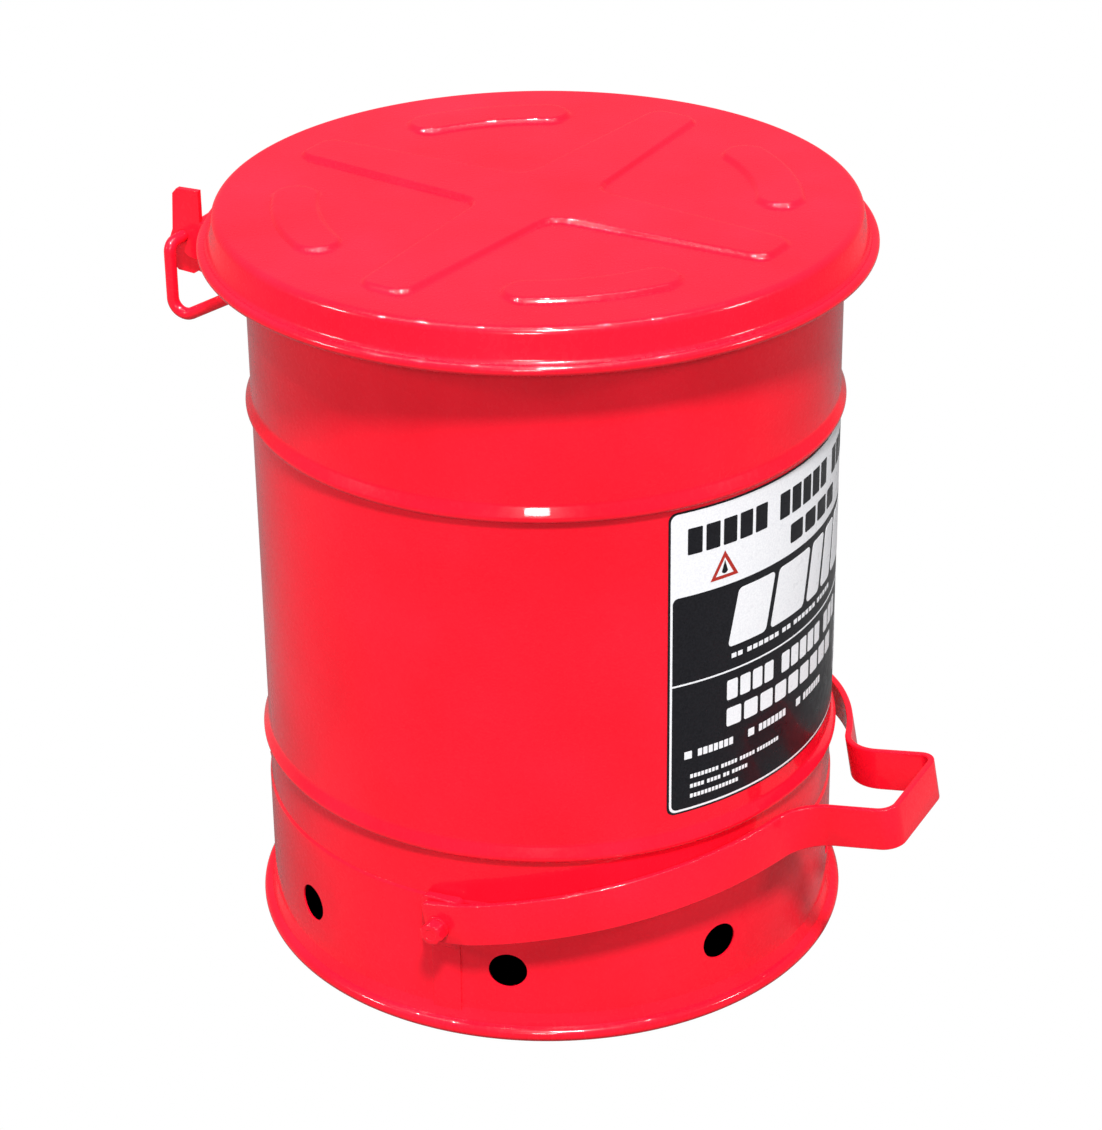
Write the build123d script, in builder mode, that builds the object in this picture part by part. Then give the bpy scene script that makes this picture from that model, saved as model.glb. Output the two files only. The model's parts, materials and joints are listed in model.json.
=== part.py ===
"""Oily waste can, 10 US gallon size: a pedal lifts a hinged lid through a shaft, an arm and a rod.

Millimetres. The origin is on the can's axis at floor level, +Z is up. The pedal points to -Y and the
lid's hinge is at +Y.
"""
from build123d import *
import math
import os

os.makedirs("parts", exist_ok=True)

# ---- can -------------------------------------------------------------------------------------------
BODY_R = 175.0          # outside of the shell
SHEET = 1.0             # sheet steel
BODY_TOP = 462.0        # top of the shell's rolled edge
SHELL_FOOT = 88.0       # lower edge of the shell, inside the skirt
BEAD_OUT = 3.2          # how far the two stiffening beads stand out
BEAD_Z = (123.0, 343.0)  # crisp lower edge of each bead
CURL_R = 3.2            # rolled edge of the shell
PAN_Z = 96.0            # underside of the raised bottom
SKIRT_R = BODY_R + SHEET
SKIRT_TOP = 92.0
FOOT_CURL_R = 4.5       # rolled edge that the can stands on
FOOT_CURL_Z = 4.2       # a little less than its radius, so the can stands on a flat land
FOOT_CURL_AT = 179.2
LAP_DEG = (80.5, 86.3)  # overlap of the skirt's seam, measured from the pedal towards -X
VENT_R = 11.5
VENT_Z = 46.0
VENTS = (28.0, 71.2, 118.6, 163.0, 208.0, 252.0, 297.0, 342.0)   # a little uneven, as punched
LABEL_Z = (144.0, 340.0)
LABEL_HALF_DEG = 40.0
LABEL_T = 0.3

# ---- lid -------------------------------------------------------------------------------------------
LID_TOP = 464.0
LID_R = 187.7           # flat top's edge
LID_SKIRT_R = 191.8     # foot of the side wall
LID_SKIRT_Z = 446.5
LID_CURL_R = 3.3
LID_CURL_AT = 195.0
LID_CURL_Z = 442.3
LID_BACK = 4.0          # the lid sits this far towards its hinge
EMBOSS = 2.5
EMBOSS_TURN = -5.0      # the pressed cross is a little off the hinge line
WIRE_GAP = 0.1          # between a rolled edge and the wire in it

# ---- pedal lever -----------------------------------------------------------------------------------
PIVOT_Y = -21.5
PIVOT_Z = 78.2
LEVER_TILT = 10.5       # the lever climbs to the front by this angle at rest
STRAP_T = 4.0
STRAP_W = 26.5
STRAP_RISE = 2.6        # the bolt sits this far below the strap's middle
HOOP_R = 188.5          # centre line of the hoop round the can
HOOP_END_ARC = 40.0     # tighter bend that leaves the strap's ends straight
HOOP_END_Y = 18.5       # where that bend starts
HOOP_AHEAD = 4.0        # the hoop's centre is this far ahead of the can's axis
END_PAST_PIVOT = 7.8
LOOP_HALF = 36.0        # centre line of each arm of the pedal loop
LOOP_FRONT = 246.0      # centre line of the pedal bar, from the hoop's centre, in the lever's own plane
LOOP_BEND = 28.0        # bend from the hoop into each arm
LOOP_CORNER = 10.0
SHAFT_R = 6.0
BUSH_GAP = 0.08
BUSH_R = 8.0
BOLT_R = 4.0
BOLT_AF = 13.0
BOLT_HEAD = 7.5
WASHER_T = 1.6

# ---- lid hinge and lift rod ------------------------------------------------------------------------
HINGE_Y = 228.0
HINGE_Z = 414.6
WIRE_R = 3.75           # bent wire that is the hinge pin and its own stays
WIRE_LEG_X = 50.5
WIRE_FOOT_Z = 364.7
WIRE_END_Y = 169.5
WIRE_END_Z = 397.0
EAR_X = 34.0
EAR_T = 3.5
EAR_HALF_W = 7.8
CHEEK_X = 29.0
CHEEK_T = 3.0
LIFT_Y = 199.0          # the rod slides up and down here
BAR_R = 4.0
ARM_DROP = 16.7         # cross bar below the hinge at rest, and above it with the lid open
BAR_Z = HINGE_Z - ARM_DROP
ROD_R = 4.0
GUIDE_Z = (162.0, 300.0)
TAIL_Z = PIVOT_Z - (LIFT_Y - PIVOT_Y) * math.tan(math.radians(LEVER_TILT))
TAIL_PIN_R = 3.5
ARM_T = 6.0


def on_ring(radius, degrees, height):
    """Point on a circle round the can, with the angle from -Y towards -X."""
    a = math.radians(degrees)
    return (-radius * math.sin(a), -radius * math.cos(a), height)


def radial_plane(radius, degrees, height):
    """Plane that faces outwards at a point on the can."""
    a = math.radians(degrees)
    outward = (-math.sin(a), -math.cos(a), 0)
    return Plane(origin=on_ring(radius, degrees, height), x_dir=(0, 0, 1), z_dir=outward)


def sector(inner, outer, from_deg, to_deg, z_low, z_high, mode=Mode.ADD):
    """Part of a ring, between two angles from -Y towards -X."""
    with BuildSketch(Plane.XZ) as profile:
        with Locations(((inner + outer) / 2, (z_low + z_high) / 2)):
            Rectangle(outer - inner, z_high - z_low)
    piece = revolve(profile.sketch, axis=Axis.Z, revolution_arc=to_deg - from_deg, mode=Mode.PRIVATE)
    add(piece.rotate(Axis.Z, 270.0 - to_deg), mode=mode)


def sheet_ring(points, radii, thick=SHEET):
    """Thin revolved sheet along a line in (radius, height)."""
    with BuildSketch(Plane.XZ) as profile:
        with BuildLine():
            FilletPolyline(*points, radius=radii)
        trace(line_width=thick)
    revolve(profile.sketch, axis=Axis.Z)


def curl_ring(at_r, at_z, radius, open_to):
    """Rolled edge: a tube round the can with a narrow mouth towards open_to (radius, height)."""
    with BuildSketch(Plane.XZ) as profile:
        with Locations((at_r, at_z)):
            Circle(radius)
            Circle(radius - SHEET, mode=Mode.SUBTRACT)
        middle = ((at_r + open_to[0]) / 2, (at_z + open_to[1]) / 2)
        turn = math.degrees(math.atan2(open_to[1] - at_z, open_to[0] - at_r))
        with Locations(Location(middle, turn)):
            Rectangle(math.dist((at_r, at_z), open_to), SHEET, mode=Mode.SUBTRACT)
    revolve(profile.sketch, axis=Axis.Z)


def wire_ring(at_r, at_z, radius):
    """Round wire bent into a ring."""
    with BuildSketch(Plane.XZ) as profile:
        with Locations((at_r, at_z)):
            Circle(radius)
    revolve(profile.sketch, axis=Axis.Z)


def x_rod(radius, x_low, x_high, y, z, mode=Mode.ADD):
    """Cylinder along X."""
    with BuildSketch(Plane(origin=(x_low, y, z), x_dir=(0, 1, 0), z_dir=(1, 0, 0))) as profile:
        Circle(radius)
    extrude(profile.sketch, amount=x_high - x_low, mode=mode)


def z_rod(radius, x, y, z_low, z_high, mode=Mode.ADD):
    """Cylinder along Z."""
    with BuildSketch(Plane.XY.offset(z_low)) as profile:
        with Locations((x, y)):
            Circle(radius)
    extrude(profile.sketch, amount=z_high - z_low, mode=mode)


def rivet(radius, degrees, height, grip, shank_r=2.4, head_r=4.2, head_t=1.8):
    """Rivet through the wall at a radius, with a head on the outside."""
    with BuildSketch(radial_plane(radius - grip, degrees, height)) as shank:
        Circle(shank_r)
    extrude(shank.sketch, amount=grip)
    with BuildSketch(radial_plane(radius, degrees, height)) as head:
        Circle(head_r)
    extrude(head.sketch, amount=head_t, taper=25)


def rivet_hole(radius, degrees, height, grip, shank_r=2.4):
    """Hole for a rivet."""
    with BuildSketch(radial_plane(radius - grip - 1, degrees, height)) as hole:
        Circle(shank_r)
    extrude(hole.sketch, amount=grip + 3, mode=Mode.SUBTRACT)


def save(part, label):
    """Label a finished piece and write its STEP."""
    part.label = label
    export_step(part, f"parts/{label}.step")


HINGE_RIVETS = [(180 + side, z) for side in (-5.0, 5.0) for z in (364.0, 382.0)]
GUIDE_RIVETS = [(180 + side, z - 14.0) for side in (-3.0, 3.0) for z in GUIDE_Z]
LID_RIVETS = [180 + side for side in (-7.0, 0.0, 7.0)]
LID_RIVET_Z = 453.0

# ---- body shell: rolled sheet with two beads and a rolled top edge ----------------------------------
mid_r = BODY_R - SHEET / 2
curl_at = BODY_R + CURL_R - SHEET / 2
curl_z = BODY_TOP - CURL_R
shell_line = [(mid_r, SHELL_FOOT)]
for z in BEAD_Z:
    shell_line += [(mid_r, z), (mid_r + BEAD_OUT, z + 1.2), (mid_r + BEAD_OUT, z + 3.2), (mid_r, z + 10)]
shell_line += [(mid_r, curl_z)]
with BuildPart() as body_shell:
    sheet_ring(shell_line, [0.5, 0.7, 1.5, 6.0] * len(BEAD_Z))
    curl_ring(curl_at, curl_z, CURL_R, (curl_at, curl_z - 2 * CURL_R))
    for angle, z in HINGE_RIVETS + GUIDE_RIVETS:
        rivet_hole(BODY_R, angle, z, 2.0)
save(body_shell.part, "body_shell")

with BuildPart() as rim_wire:
    wire_ring(curl_at, curl_z, CURL_R - SHEET - WIRE_GAP)
save(rim_wire.part, "rim_wire")

# ---- raised bottom, a pan whose flange is welded inside the shell -----------------------------------
with BuildPart() as bottom_pan:
    pan_mid = PAN_Z + SHEET / 2
    flange_r = BODY_R - SHEET * 1.5
    sheet_ring([(0, pan_mid), (flange_r, pan_mid), (flange_r, SHELL_FOOT)], [4.0])
save(bottom_pan.part, "bottom_pan")

# ---- base skirt with vents, a lapped seam, shaft holes and the arm's slot ---------------------------
slot_z = (29.0, 82.0)
slot_half = 7.0
with BuildPart() as base_skirt:
    skirt_mid = SKIRT_R - SHEET / 2
    sheet_ring([(skirt_mid, SKIRT_TOP), (skirt_mid, 15), (FOOT_CURL_AT + 0.8, FOOT_CURL_Z + 3.8)], [7.0])
    curl_ring(FOOT_CURL_AT, FOOT_CURL_Z, FOOT_CURL_R, (FOOT_CURL_AT - 2 * FOOT_CURL_R, FOOT_CURL_Z - 1))
    sector(SKIRT_R - 0.1, SKIRT_R + SHEET, *LAP_DEG, 17, SKIRT_TOP)
    for angle in VENTS:
        with BuildSketch(radial_plane(SKIRT_R - 8, angle, VENT_Z)):
            Circle(VENT_R)
        extrude(amount=16, mode=Mode.SUBTRACT)
    x_rod(BUSH_R, -SKIRT_R - 5, SKIRT_R + 5, PIVOT_Y, PIVOT_Z, Mode.SUBTRACT)
    with BuildSketch(Plane(origin=(0, SKIRT_R - 10, sum(slot_z) / 2), x_dir=(0, 0, 1), z_dir=(0, 1, 0))):
        SlotOverall(slot_z[1] - slot_z[0], 2 * slot_half)
    extrude(amount=20, mode=Mode.SUBTRACT)
    with BuildSketch():
        Circle(SKIRT_R + 20)
    extrude(amount=-10, mode=Mode.SUBTRACT)
save(base_skirt.part, "base_skirt")

with BuildPart() as foot_wire:
    wire_ring(FOOT_CURL_AT, FOOT_CURL_Z, FOOT_CURL_R - SHEET - WIRE_GAP)
save(foot_wire.part, "foot_wire")

# ---- lugs and bushes that carry the shaft, one pair on each side ------------------------------------
lug_y = (-33.0, -7.8)
lug_z = (62.0, 94.7)
end_angle = math.degrees(math.asin((HOOP_END_Y - PIVOT_Y) / HOOP_R))
strap_end_x = (HOOP_R - HOOP_END_ARC) * math.cos(math.radians(end_angle)) + HOOP_END_ARC
strap_in = strap_end_x - STRAP_T / 2
strap_out = strap_end_x + STRAP_T / 2
bush_flange_t = 1.2
lug_out = strap_in - bush_flange_t - 0.3
for side, label, under in ((-1, "left", SKIRT_R + SHEET), (1, "right", SKIRT_R)):
    with BuildPart() as pivot_lug:
        lug_mid = (side * lug_out, sum(lug_y) / 2, sum(lug_z) / 2)
        with BuildSketch(Plane(origin=lug_mid, x_dir=(0, 1, 0), z_dir=(-side, 0, 0))):
            RectangleRounded(lug_y[1] - lug_y[0], lug_z[1] - lug_z[0], 4)
        extrude(amount=lug_out - 165)
        with BuildSketch(Plane.XY):
            Circle(under)
        extrude(amount=150, mode=Mode.SUBTRACT)
        x_rod(BUSH_R, -200, 200, PIVOT_Y, PIVOT_Z, Mode.SUBTRACT)
        fillet(pivot_lug.faces().sort_by(Axis.X)[0 if side < 0 else -1].outer_wire().edges(), 1.0)
    save(pivot_lug.part, f"pivot_lug_{label}")

    with BuildPart() as pivot_bush:
        inner = min(side * 171.0, side * lug_out)
        outer = max(side * 171.0, side * lug_out)
        x_rod(BUSH_R, inner, outer, PIVOT_Y, PIVOT_Z)
        low = min(side * lug_out, side * (lug_out + bush_flange_t))
        x_rod(10.0, low, low + bush_flange_t, PIVOT_Y, PIVOT_Z)
        x_rod(SHAFT_R + BUSH_GAP, -200, 200, PIVOT_Y, PIVOT_Z, Mode.SUBTRACT)
    save(pivot_bush.part, f"pivot_bush_{label}")

# ---- label: a thin sheet round the front, between the beads -----------------------------------------
with BuildPart() as label:
    sector(BODY_R, BODY_R + LABEL_T, -LABEL_HALF_DEG, LABEL_HALF_DEG, *LABEL_Z)
save(label.part, "label")

# ---- hinge bracket on the can: back plate and two cheeks -------------------------------------------
cheek_outline = [(177, 366), (190, 374.5), (208, 387), (221.4, 391), (225, 388.6), (236, 389.3), (245, 399),
                 (239, 414.6), (234, 424), (221, 424), (216, 410), (211, 397), (206, 391.8), (177, 391.5)]
with BuildPart() as hinge_bracket:
    sector(BODY_R, BODY_R + 3, 169.0, 191.0, 356, 392)
    for x in (-CHEEK_X, CHEEK_X):
        with BuildSketch(Plane(origin=(x - CHEEK_T / 2, 0, 0), x_dir=(0, 1, 0), z_dir=(1, 0, 0))):
            with BuildLine():
                Polyline(*cheek_outline, close=True)
            make_face()
        extrude(amount=CHEEK_T)
    x_rod(WIRE_R, -80, 80, HINGE_Y, HINGE_Z, Mode.SUBTRACT)
    with BuildSketch(Plane.XY.offset(300)):
        Circle(BODY_R)
    extrude(amount=150, mode=Mode.SUBTRACT)
    for angle, z in HINGE_RIVETS:
        rivet_hole(BODY_R + 3, angle, z, 5.0)
save(hinge_bracket.part, "hinge_bracket")

with BuildPart() as hinge_rivets:
    for angle, z in HINGE_RIVETS:
        rivet(BODY_R + 3, angle, z, 5.0)
save(hinge_rivets.part, "hinge_rivets")

# ---- hinge wire: pin through the ears, a leg down each side, a stay back to the can -----------------
wire_points = [(-WIRE_LEG_X, WIRE_END_Y, WIRE_END_Z), (-WIRE_LEG_X, HINGE_Y, WIRE_FOOT_Z),
               (-WIRE_LEG_X, HINGE_Y, HINGE_Z), (WIRE_LEG_X, HINGE_Y, HINGE_Z),
               (WIRE_LEG_X, HINGE_Y, WIRE_FOOT_Z), (WIRE_LEG_X, WIRE_END_Y, WIRE_END_Z)]
with BuildPart() as hinge_wire:
    with BuildLine() as wire_path:
        FilletPolyline(*wire_points, radius=[9.0, 5.5, 5.5, 9.0])
    with BuildSketch(Plane(origin=wire_path.line @ 0, z_dir=wire_path.line % 0)):
        Circle(WIRE_R)
    sweep()
    with BuildSketch(Plane.XY.offset(300)):
        Circle(BODY_R)
    extrude(amount=150, mode=Mode.SUBTRACT)
save(hinge_wire.part, "hinge_wire")

washer_in = CHEEK_X + CHEEK_T / 2
with BuildPart() as hinge_washers:
    for side in (-1, 1):
        low = min(side * washer_in, side * (washer_in + 1.5))
        x_rod(8.0, low, low + 1.5, HINGE_Y, HINGE_Z)
        x_rod(WIRE_R, low - 1, low + 3, HINGE_Y, HINGE_Z, Mode.SUBTRACT)
save(hinge_washers.part, "hinge_washers")

# ---- rod guides on the back of the can -------------------------------------------------------------
for z, label in zip(GUIDE_Z, ("lower", "upper")):
    with BuildPart() as rod_guide:
        sector(BODY_R, BODY_R + 2.5, 175.3, 184.7, z - 26, z)
        with BuildSketch(Plane.XY.offset(z - 3)):
            with Locations((0, (BODY_R - 5 + LIFT_Y) / 2)):
                Rectangle(12, LIFT_Y - BODY_R + 5)
            with Locations((0, LIFT_Y)):
                Circle(6.5)
            Circle(BODY_R, mode=Mode.SUBTRACT)
        extrude(amount=3)
        z_rod(ROD_R + BUSH_GAP, 0, LIFT_Y, z - 10, z + 10, Mode.SUBTRACT)
        for angle, rivet_z in GUIDE_RIVETS:
            rivet_hole(BODY_R + 2.5, angle, rivet_z, 4.5)
    save(rod_guide.part, f"rod_guide_{label}")

with BuildPart() as guide_rivets:
    for angle, z in GUIDE_RIVETS:
        rivet(BODY_R + 2.5, angle, z, 4.5)
save(guide_rivets.part, "guide_rivets")

# ---- lid: pressed sheet with a raised cross, four raised arcs and a rolled edge ---------------------
arm_root = 24.0
arm_tip = 15.5
arm_reach = 160.0
arc_r = (127.0, 154.0)
arc_half_deg = 15.0
wall_mid = [(0, LID_TOP - SHEET / 2), (LID_R, LID_TOP - SHEET / 2), (LID_SKIRT_R, LID_SKIRT_Z),
            (LID_CURL_AT + 1.8, LID_CURL_Z + 2.5)]
with BuildPart() as lid_shell:
    sheet_ring(wall_mid, [5.0, 4.0])
    curl_ring(LID_CURL_AT, LID_CURL_Z, LID_CURL_R, (LID_CURL_AT - 2 * LID_CURL_R, LID_CURL_Z - 2))
    with BuildSketch(Plane.XY.offset(LID_TOP - SHEET)) as raised:
        for turn in (0, 90, 180, 270):
            with Locations(Location((0, 0), turn + EMBOSS_TURN)):
                Polygon((0, -arm_root), (arm_root, -arm_root), (arm_reach, -arm_tip), (arm_reach, arm_tip),
                        (arm_root, arm_root), (0, arm_root), align=None)
        for turn in (45, 135, 225, 315):
            with Locations(Location((0, 0), turn + EMBOSS_TURN)):
                arc = CenterArc((0, 0), sum(arc_r) / 2, -arc_half_deg, 2 * arc_half_deg, mode=Mode.PRIVATE)
                SlotArc(arc, arc_r[1] - arc_r[0])
    extrude(amount=SHEET + EMBOSS)
    with BuildSketch(Plane.XY.offset(LID_TOP - SHEET)):
        add(raised.sketch)
        offset(amount=-SHEET, mode=Mode.REPLACE)
    extrude(amount=EMBOSS, mode=Mode.SUBTRACT)
    for angle in LID_RIVETS:
        rivet_hole(LID_SKIRT_R, angle, LID_RIVET_Z, 4.0)
save(lid_shell.part.moved(Location((0, LID_BACK, 0))), "lid_shell")

with BuildPart() as lid_wire:
    wire_ring(LID_CURL_AT, LID_CURL_Z, LID_CURL_R - SHEET - WIRE_GAP)
save(lid_wire.part.moved(Location((0, LID_BACK, 0))), "lid_wire")

# ---- hinge ears on the lid: flange in the lid's wall, web under its edge, two ears with horns -------
arm_angle = math.degrees(math.atan2(ARM_DROP, HINGE_Y - LIFT_Y))
arm_length = math.hypot(ARM_DROP, HINGE_Y - LIFT_Y)
slot_near = (HINGE_Y - LIFT_Y) - 0.7
slot_far = arm_length + 0.7
slot_mid = (slot_near + slot_far) / 2
ear_angle = 180 + arm_angle
slot_at = (HINGE_Y + slot_mid * math.cos(math.radians(ear_angle)),
           HINGE_Z + slot_mid * math.sin(math.radians(ear_angle)))
arm_at = (HINGE_Y + slot_far / 2 * math.cos(math.radians(ear_angle)),
          HINGE_Z + slot_far / 2 * math.sin(math.radians(ear_angle)))
ear_low = [(235.5, 411.0), (225, 402), (200, 396), (189, 400), (188, 420), (189.5, 436), (189.5, 439),
           (202, 439), (206, 425)]
ear_tops = {-EAR_X: [(215.3, 425), (215.3, 445.2), (230.5, 444.8), (233.6, 441.3)],   # with the stop tab
            EAR_X: [(232, 425)]}
flange_top = 457.0
web_z = (436.0, LID_CURL_Z - LID_CURL_R)
slope = (LID_SKIRT_R - LID_R) / (LID_TOP - LID_SKIRT_Z)
flange_out = [LID_R + (LID_TOP - z) * slope - 0.62 for z in (flange_top, 445.0)]
with BuildPart() as lid_flange:
    with BuildSketch(Plane.XZ):
        Polygon((flange_out[0], flange_top), (flange_out[1], 445), (flange_out[1], web_z[0]),
                (flange_out[1] - 2.5, web_z[0]), (flange_out[1] - 2.5, 445),
                (flange_out[0] - 2.5, flange_top), align=None)
    flange = revolve(axis=Axis.Z, revolution_arc=21, mode=Mode.PRIVATE)
    add(flange.rotate(Axis.Z, 270 - 190.5))
    sector(flange_out[1] - 2.5, 201, 169.5, 190.5, *web_z)
    for angle in LID_RIVETS:
        rivet_hole(LID_SKIRT_R, angle, LID_RIVET_Z, 5.0)
with BuildPart() as lid_hinge:
    add(lid_flange.part.moved(Location((0, LID_BACK, 0))))
    for x in (-EAR_X, EAR_X):
        with BuildSketch(Plane(origin=(x - EAR_T / 2, 0, 0), x_dir=(0, 1, 0), z_dir=(1, 0, 0))):
            with Locations(Location(arm_at, arm_angle)):
                SlotCenterToCenter(slot_far, 2 * EAR_HALF_W)
            with BuildLine():
                Polyline(*ear_low, *ear_tops[x], close=True)
            make_face()
            with Locations(Location(slot_at, arm_angle)):
                SlotCenterToCenter(slot_far - slot_near, 2 * (BAR_R + 0.7), mode=Mode.SUBTRACT)
        extrude(amount=EAR_T)
    x_rod(WIRE_R + 0.1, -80, 80, HINGE_Y, HINGE_Z, Mode.SUBTRACT)
save(lid_hinge.part, "lid_hinge")

with BuildPart() as lid_rivets:
    for angle in LID_RIVETS:
        rivet(LID_SKIRT_R, angle, LID_RIVET_Z, 4.4, head_r=3.6)
save(lid_rivets.part.moved(Location((0, LID_BACK, 0))), "lid_rivets")

# ---- pedal lever: one strap on edge, bent to a hoop with a loop at the front ------------------------
tilted = Plane.XY.rotated((-LEVER_TILT, 0, 0))
lever_plane = Plane(origin=(0, PIVOT_Y, PIVOT_Z), x_dir=(1, 0, 0), z_dir=tilted.z_dir)
middle = -PIVOT_Y - HOOP_AHEAD
front_angle = math.degrees(math.asin((LOOP_HALF + LOOP_BEND) / (HOOP_R + LOOP_BEND)))


def strap_side(side):
    """Half of the strap's centre line, from its end to the middle of the pedal bar."""
    def at(radius, degrees, centre=(0, 0)):
        a = math.radians(degrees)
        return (side * (centre[0] + radius * math.cos(a)), middle + centre[1] - radius * math.sin(a))
    end_centre_r = HOOP_R - HOOP_END_ARC
    a = math.radians(end_angle)
    end_centre = (end_centre_r * math.cos(a), -end_centre_r * math.sin(a))
    straight_end = (side * (end_centre[0] + HOOP_END_ARC), middle + end_centre[1])
    hoop_start = at(HOOP_R, end_angle)
    hoop_stop = at(HOOP_R, 90 - front_angle)
    bend_centre = ((HOOP_R + LOOP_BEND) * math.sin(math.radians(front_angle)),
                   -(HOOP_R + LOOP_BEND) * math.cos(math.radians(front_angle)))
    bend_stop = (side * LOOP_HALF, middle + bend_centre[1])
    corner_start = (side * LOOP_HALF, middle - LOOP_FRONT + LOOP_CORNER)
    corner_mid = (side * (LOOP_HALF - LOOP_CORNER * (1 - math.sqrt(0.5))),
                  middle - LOOP_FRONT + LOOP_CORNER * (1 - math.sqrt(0.5)))
    corner_stop = (side * (LOOP_HALF - LOOP_CORNER), middle - LOOP_FRONT)
    Line((straight_end[0], END_PAST_PIVOT), straight_end)
    ThreePointArc(straight_end, at(HOOP_END_ARC, end_angle / 2, end_centre), hoop_start)
    ThreePointArc(hoop_start, at(HOOP_R, (end_angle + 90 - front_angle) / 2), hoop_stop)
    bend_mid_deg = (90 - front_angle) / 2
    m = math.radians(bend_mid_deg)
    bend_mid = (side * (bend_centre[0] - LOOP_BEND * math.cos(m)),
                middle + bend_centre[1] + LOOP_BEND * math.sin(m))
    ThreePointArc(hoop_stop, bend_mid, bend_stop)
    Line(bend_stop, corner_start)
    ThreePointArc(corner_start, corner_mid, corner_stop)
    return corner_stop


with BuildPart() as foot_lever:
    with BuildSketch(lever_plane.offset(STRAP_RISE - STRAP_W / 2)):
        with BuildLine():
            left = strap_side(-1)
            right = strap_side(1)
            Line(left, right)
        trace(line_width=STRAP_T)
    extrude(amount=STRAP_W)
    x_rod(BOLT_R + 0.1, -200, 200, PIVOT_Y, PIVOT_Z, Mode.SUBTRACT)
    for corner, radius in ((0, 12.0), (-1, 2.0)):
        ends = foot_lever.edges().filter_by(Axis.X).filter_by_position(Axis.Y, -40, 40)
        fillet(ends.group_by(Axis.Z)[corner], radius)
save(foot_lever.part, "foot_lever")

with BuildPart() as pivot_shaft:
    x_rod(SHAFT_R, -strap_in, strap_in, PIVOT_Y, PIVOT_Z)
    x_rod(BOLT_R, -strap_in, -strap_in + 20, PIVOT_Y, PIVOT_Z, Mode.SUBTRACT)
    x_rod(BOLT_R, strap_in - 20, strap_in, PIVOT_Y, PIVOT_Z, Mode.SUBTRACT)
    with BuildSketch(lever_plane.offset(-15)):
        Circle(2.0)
    extrude(amount=30, mode=Mode.SUBTRACT)
save(pivot_shaft.part, "pivot_shaft")

head_in = strap_out + WASHER_T
with BuildPart() as pivot_bolts:
    for side in (-1, 1):
        head_face = Plane(origin=(side * head_in, PIVOT_Y, PIVOT_Z), x_dir=(0, 1, 0), z_dir=(side, 0, 0))
        with BuildSketch(head_face):
            RegularPolygon(BOLT_AF / 2, 6, major_radius=False, rotation=15)
        extrude(amount=BOLT_HEAD)
        low = min(side * head_in, side * (strap_in - 18))
        x_rod(BOLT_R, low, low + head_in - strap_in + 18, PIVOT_Y, PIVOT_Z)
save(pivot_bolts.part, "pivot_bolts")

with BuildPart() as pivot_washers:
    for side in (-1, 1):
        low = min(side * strap_out, side * head_in)
        x_rod(7.6, low, low + WASHER_T, PIVOT_Y, PIVOT_Z)
        x_rod(BOLT_R, low - 1, low + 4, PIVOT_Y, PIVOT_Z, Mode.SUBTRACT)
save(pivot_washers.part, "pivot_washers")

# ---- rear arm on the shaft, out through the skirt's slot to the rod --------------------------------
tail_length = (LIFT_Y - PIVOT_Y) / math.cos(math.radians(LEVER_TILT))
tail_slot = 4.4
side_plane = Plane(origin=(-ARM_T / 2, PIVOT_Y, PIVOT_Z), x_dir=(0, 1, 0), z_dir=(1, 0, 0))
with BuildPart() as rear_arm:
    with BuildSketch(side_plane):
        with Locations(Location((0, 0), -LEVER_TILT)):
            Polygon((0, -10), (0, 10), (120, 10), (tail_length + 4, 7), (tail_length + 8, 4),
                    (tail_length + 8, -4), (tail_length + 4, -7), (120, -10), align=None)
            with Locations((tail_length - tail_slot / 2 + 0.4, 0)):
                SlotCenterToCenter(tail_slot, 2 * (TAIL_PIN_R + 0.3), mode=Mode.SUBTRACT)
    extrude(amount=ARM_T)
    x_rod(11.0, -12, 12, PIVOT_Y, PIVOT_Z)
    x_rod(SHAFT_R, -20, 20, PIVOT_Y, PIVOT_Z, Mode.SUBTRACT)
    with BuildSketch(lever_plane.offset(-15)):
        Circle(2.0)
    extrude(amount=30, mode=Mode.SUBTRACT)
save(rear_arm.part, "rear_arm")

with BuildPart() as arm_roll_pin:
    with BuildSketch(lever_plane.offset(-11)):
        Circle(2.0)
    extrude(amount=22)
save(arm_roll_pin.part, "arm_roll_pin")

# ---- lift rod with its fork, pin, head and cross bar -----------------------------------------------
fork_web_z = TAIL_Z + 12
neck_z = BAR_Z - 22
with BuildPart() as lift_rod:
    z_rod(ROD_R, 0, LIFT_Y, fork_web_z, BAR_Z - 12)
save(lift_rod.part, "lift_rod")

with BuildPart() as rod_fork:
    with BuildSketch(Plane.XY.offset(TAIL_Z - 8)):
        with Locations((0, LIFT_Y)):
            RectangleRounded(13, 13, 2.5)
    extrude(amount=28)
    with BuildSketch(Plane.XY.offset(TAIL_Z - 9)):
        with Locations((0, LIFT_Y)):
            Rectangle(ARM_T + 0.8, 20)
    extrude(amount=21, mode=Mode.SUBTRACT)
    x_rod(TAIL_PIN_R, -20, 20, LIFT_Y, TAIL_Z, Mode.SUBTRACT)
    z_rod(ROD_R, 0, LIFT_Y, fork_web_z, fork_web_z + 20, Mode.SUBTRACT)
save(rod_fork.part, "rod_fork")

with BuildPart() as fork_pin:
    x_rod(TAIL_PIN_R, -6.5, 10, LIFT_Y, TAIL_Z)
    x_rod(5.0, -8, -6.5, LIFT_Y, TAIL_Z)
save(fork_pin.part, "fork_pin")

with BuildPart() as rod_head:
    x_rod(9.0, -8, 8, LIFT_Y, BAR_Z)
    z_rod(6.5, 0, LIFT_Y, neck_z, BAR_Z)
    x_rod(BAR_R, -20, 20, LIFT_Y, BAR_Z, Mode.SUBTRACT)
    z_rod(ROD_R, 0, LIFT_Y, neck_z - 1, BAR_Z - 12, Mode.SUBTRACT)
save(rod_head.part, "rod_head")

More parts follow.
